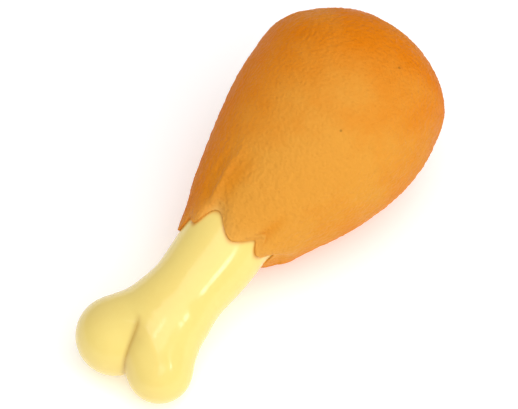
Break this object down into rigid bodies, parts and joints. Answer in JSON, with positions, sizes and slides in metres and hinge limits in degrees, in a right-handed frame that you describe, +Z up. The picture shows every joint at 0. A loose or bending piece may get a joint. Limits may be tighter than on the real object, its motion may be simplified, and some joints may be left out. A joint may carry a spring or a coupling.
{
  "type": "rubber chicken drumstick",
  "caption": "Hollow soft vinyl chicken drumstick prop: pear-shaped pebbled meat with a ragged hem over a glossy two-knuckle bone, and a reed squeaker in its blunt end.",
  "frame": {"origin": "centre of the drumstick seen from above, on the surface that it lies on (z = 0)", "axes": "+Z up; +X from the knuckles of the bone towards the blunt end with the squeaker; the long axis rises 10 degrees towards +X as the drumstick lies; -Y is the side of the small knuckle"},
  "size_m": [0.1842, 0.086, 0.0831],
  "materials": {
    "meat_vinyl": "satin soft vinyl, finely pebbled like roast chicken skin",
    "bone_vinyl": "glossy soft vinyl",
    "squeaker_plastic": "moulded white polyethylene",
    "reed_film": "thin springy film"
  },
  "bodies": {
    "drumstick": {"bone": "bone_vinyl", "meat_skin": "meat_vinyl"},
    "squeaker": {"squeaker_case": "squeaker_plastic", "squeaker_cap": "squeaker_plastic", "reed_tube": "squeaker_plastic", "reed_wedge": "squeaker_plastic"},
    "reed": {"reed": "reed_film"}
  },
  "joints": [
    {"name": "end_press", "type": "slide", "parent": "drumstick", "child": "squeaker", "axis": [-0.9848, 0, -0.1736], "range_m": [0, 0.008], "stiffness_N_per_m": 1500, "deforming": ["meat_skin"]},
    {"name": "reed_beat", "type": "hinge", "parent": "squeaker", "child": "reed", "pos_m": [0.07087, -0.00161, 0.04511], "axis": [0, -1, 0], "range_deg": [0, 4], "stiffness_Nm_per_rad": 0.0011}
  ]
}
